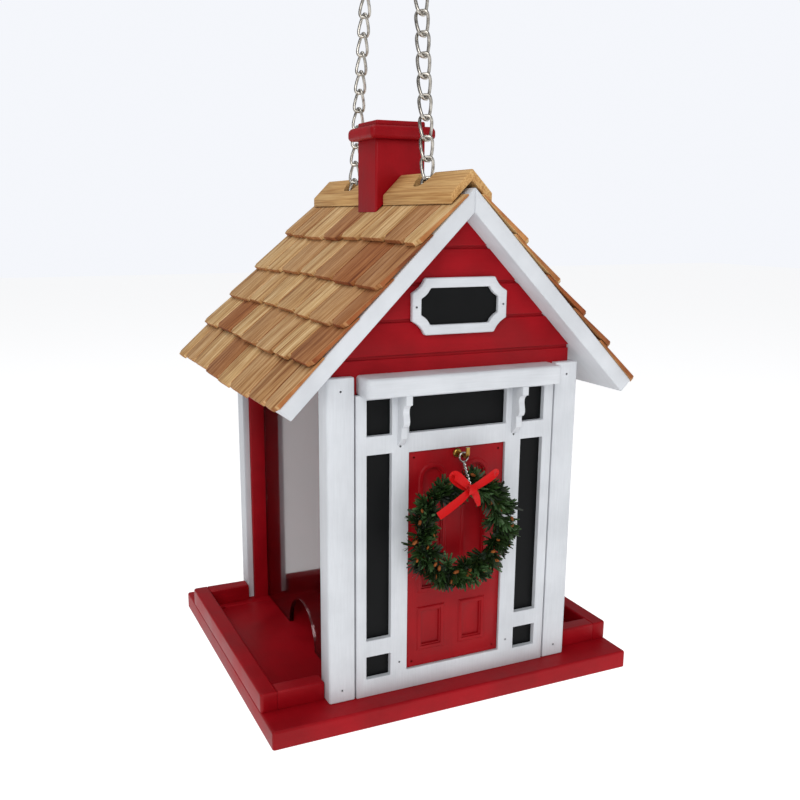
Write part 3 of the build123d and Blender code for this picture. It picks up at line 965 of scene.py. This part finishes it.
    def make_buds(self) -> None:
        """Makes small brown buds tucked between the sprigs."""
        pick = random.Random(self.bud_seed)
        brown = PaintedWood("dry_bud", "9A5420", "6A3614", Grain.Z, 0.6).make()
        form = bmesh.new()
        for number in range(self.buds):
            middle, out, _ = self.ring_point(2 * math.pi * (number + pick.random()) / self.buds)
            forward = Vector((0, -1, 0)) * pick.uniform(3.0, 6.5) * MM
            spot = middle + forward + out * pick.uniform(-4, 7) * MM
            lean = Matrix.Translation(spot) @ Matrix.Rotation(pick.uniform(0, 3), 4, "Y")
            made = bmesh.ops.create_icosphere(form, subdivisions=1,
                                              radius=pick.uniform(0.55, 0.95) * MM)
            for vertex in made["verts"]:
                vertex.co = lean @ Vector((vertex.co.x, vertex.co.y, vertex.co.z * 1.9))
        place_wires(form, "wreath_buds", brown, "wreath")

    def make_loop(self) -> None:
        """Makes the wire eye on the hook and its twisted tail down to the bow."""
        low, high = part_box("wreath_loop")
        radius = (high[0] - low[0]) / 2 - 0.4 * MM
        eye = Vector(((low[0] + high[0]) / 2, 0, high[2] - radius - 0.45 * MM))
        eye.y = low[1] + 3.7 * MM
        bow_low, bow_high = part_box("wreath_bow")
        foot = Vector(((bow_low[0] + bow_high[0]) / 2 + 1.5 * MM, bow_high[1] + 1.0 * MM,
                       bow_high[2] - 5 * MM))
        form = bmesh.new()
        ring = [eye + Vector((math.cos(a), 0, math.sin(a))) * radius
                for a in (2 * math.pi * k / self.eye_steps for k in range(self.eye_steps))]
        add_tube(form, ring, self.eye_wire_r, closed=True)
        start = eye + Vector((0, 0, -radius - 0.1 * MM))
        for phase in (0.0, math.pi):
            path = []
            for k in range(self.wire_steps + 1):
                share = k / self.wire_steps
                angle = phase + 2 * math.pi * self.wire_turns * share
                aside = Vector((math.cos(angle), math.sin(angle), 0)) * self.wire_lay * MM
                path.append(start.lerp(foot, share) + aside)
            add_tube(form, path, self.wire_r)
        wire = Metal("tinned_wire", "C8C6C2", "9B9894", 0.22).make()
        piece = place_wires(form, "wreath_wire_twist", wire, "wreath")
        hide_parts("wreath_loop")

    def smooth_path(self, path: list[tuple[float, float, float]],
                    taper: list[float]) -> list[tuple[Vector, float]]:
        """Closely spaced points on a smooth curve through a ribbon's path.

        Args:
            path: Points of the path, in millimetres from the bow's middle.
            taper: Share of the ribbon's width at each point.

        Returns:
            Points, each with its share of the width.
        """
        low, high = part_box("wreath_bow")
        middle = (Vector(low) + Vector(high)) / 2
        points = [middle + Vector(p) * MM for p in path]
        spots: list[tuple[Vector, float]] = []
        for i in range(len(points) - 1):
            a = points[max(i - 1, 0)]
            b, c = points[i], points[i + 1]
            d = points[min(i + 2, len(points) - 1)]
            for k in range(self.ribbon_steps + (i == len(points) - 2)):
                t = k / self.ribbon_steps
                spot = 0.5 * ((2 * b) + (c - a) * t + (2 * a - 5 * b + 4 * c - d) * t * t
                              + (3 * b - a - 3 * c + d) * t ** 3)
                spots.append((spot, taper[i] + (taper[i + 1] - taper[i]) * t))
        return spots

    def ribbon(self, name: str, path: list[tuple[float, float, float]], taper: list[float],
               satin: bpy.types.Material) -> bpy.types.Object:
        """Makes one stretch of ribbon, cupped a little, that faces forwards.

        Args:
            name: Name of the piece.
            path: Points of the path, in millimetres from the bow's middle.
            taper: Share of the ribbon's width at each point.
            satin: Finish of the ribbon.

        Returns:
            The ribbon's piece.
        """
        face = Vector((0, -1, 0))
        spots = self.smooth_path(path, taper)
        strips = self.ribbon_strips
        form = bmesh.new()
        uv = form.loops.layers.uv.new("UVMap")
        rows = []
        gone = 0.0
        for number, (spot, width) in enumerate(spots):
            after, before = spots[min(number + 1, len(spots) - 1)], spots[max(number - 1, 0)]
            side = (after[0] - before[0]).cross(face).normalized()
            if number:
                gone += (spot - spots[number - 1][0]).length
            row = []
            for j in range(strips + 1):
                share = j / strips - 0.5
                cup = face * (share * share) * self.ribbon_w * 0.25
                row.append(form.verts.new(spot + side * share * self.ribbon_w * width + cup))
            rows.append((row, gone))
        for (first, u0), (second, u1) in zip(rows, rows[1:]):
            for j in range(strips):
                made = form.faces.new((first[j], first[j + 1], second[j + 1], second[j]))
                corners = ((u0, j), (u0, j + 1), (u1, j + 1), (u1, j))
                for loop, (u, v) in zip(made.loops, corners):
                    loop[uv].uv = (u, v / strips * self.ribbon_w)
        piece = place_mesh(form, name, satin, "wreath")
        shade_soft(piece)
        return piece

    def make_bow(self) -> None:
        """Ties the bow: two loops, two tails and the knot."""
        satin = Ribbon().make()
        parts = [self.ribbon(name, path, taper, satin) for name, (path, taper) in BOW.items()]
        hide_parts("wreath_bow")


@dataclass(frozen=True)
class Softbox:
    """Square light aimed at the house, with its power in watts."""

    name: str
    spot: tuple[float, float, float]
    size: float
    power: float


SOFTBOXES = (
    Softbox("key_softbox", (-0.75, -1.5, 1.15), 1.1, 16.0),
    Softbox("fill_softbox", (1.3, -1.1, 0.6), 1.0, 3.4),
    Softbox("top_softbox", (-0.3, 0.3, 1.9), 1.2, 10.0),
)


@dataclass
class Studio:
    """Pale floor, soft lights and the camera."""

    floor_z: float = -0.16
    floor_size: float = 12.0
    floor_glow: float = 0.7
    room_light: float = 0.34
    backdrop_light: float = 0.97
    aim: tuple[float, float, float] = (0, 0, 0.15)
    lens: float = 40.79             # millimetres, on the sensor below
    sensor: float = 36.0
    shift_x: float = 0.0271
    shift_y: float = 0.0294
    clip_start: float = 0.02
    place: tuple[float, float, float] = (-0.20873, -0.44502, 0.23902)
    heading: float = 24.21          # degrees, as are the next two
    pitch: float = 12.85
    roll: float = 0.22

    def build(self) -> None:
        """Makes the stage."""
        self.floor()
        self.room()
        for box in SOFTBOXES:
            self.lamp(box)
        bpy.context.scene.view_settings.view_transform = "Standard"
        self.camera()

    def floor(self) -> None:
        """Lays the pale floor well below the hanging house."""
        bpy.ops.object.select_all(action="DESELECT")
        bpy.ops.mesh.primitive_plane_add(size=self.floor_size, location=(0, 0, self.floor_z))
        floor = bpy.context.object
        floor.name = "pale_floor"
        material, _, shader = new_material("pale_paper")
        shader.inputs["Base Color"].default_value = srgb("D8D8D8")
        shader.inputs["Roughness"].default_value = 0.9
        shader.inputs["Emission Color"].default_value = srgb("FFFFFF")
        shader.inputs["Emission Strength"].default_value = self.floor_glow
        dress(floor, material)

    def room(self) -> None:
        """Lights the room low while the backdrop stays pale."""
        world = bpy.data.worlds.new("soft_room")
        bpy.context.scene.world = world
        world.use_nodes = True
        sky = world.node_tree.nodes["Background"]
        sky.inputs["Color"].default_value = srgb("F8FAFF")
        seen = add_node(world.node_tree, "ShaderNodeLightPath")
        level = add_node(world.node_tree, "ShaderNodeMapRange",
                         {"To Min": self.room_light, "To Max": self.backdrop_light},
                         {"Value": seen.outputs["Is Camera Ray"]})
        world.node_tree.links.new(level.outputs[0], sky.inputs["Strength"])

    def lamp(self, box: Softbox) -> None:
        """Adds a square softbox aimed at the house.

        Args:
            box: The light's place, size and power.
        """
        data = bpy.data.lights.new(box.name, "AREA")
        data.energy = box.power
        data.size = box.size
        lamp = bpy.data.objects.new(box.name, data)
        bpy.context.scene.collection.objects.link(lamp)
        lamp.location = box.spot
        ray = Vector(self.aim) - Vector(box.spot)
        lamp.rotation_euler = ray.to_track_quat("-Z", "Y").to_euler()

    def camera(self) -> None:
        """Adds the camera from its place, heading, pitch and roll."""
        turn, dip, tilt = (math.radians(a) for a in (self.heading, self.pitch, self.roll))
        ahead = Vector((math.sin(turn) * math.cos(dip), math.cos(turn) * math.cos(dip),
                        -math.sin(dip)))
        right = Vector((math.cos(turn), -math.sin(turn), 0))
        upward = right.cross(ahead)
        level = right * math.cos(tilt) + upward * math.sin(tilt)
        high = upward * math.cos(tilt) - right * math.sin(tilt)
        data = bpy.data.cameras.new("camera")
        data.sensor_width = self.sensor
        data.lens = self.lens
        data.shift_x = self.shift_x
        data.shift_y = self.shift_y
        data.clip_start = self.clip_start
        camera = bpy.data.objects.new("camera", data)
        bpy.context.scene.collection.objects.link(camera)
        turned = Matrix((level, high, -ahead)).transposed().to_4x4()
        turned.translation = Vector(self.place)
        camera.matrix_world = turned
        bpy.context.scene.camera = camera


def main() -> None:
    """Builds the feeder's sub-assemblies in order, logging each new piece's face count."""
    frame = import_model()
    bpy.ops.object.select_all(action="DESELECT")
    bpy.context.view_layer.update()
    Studio().build()
    house = House(frame["nodes"])
    house.build()
    LOG.info("house built")
    Roof(frame["nodes"], house.paints).build()
    LOG.info("roof built")
    Hardware(frame["nodes"]).build()
    LOG.info("hardware built")
    Wreath().build()
    LOG.info("wreath built")


if __name__ == "__main__":
    main()
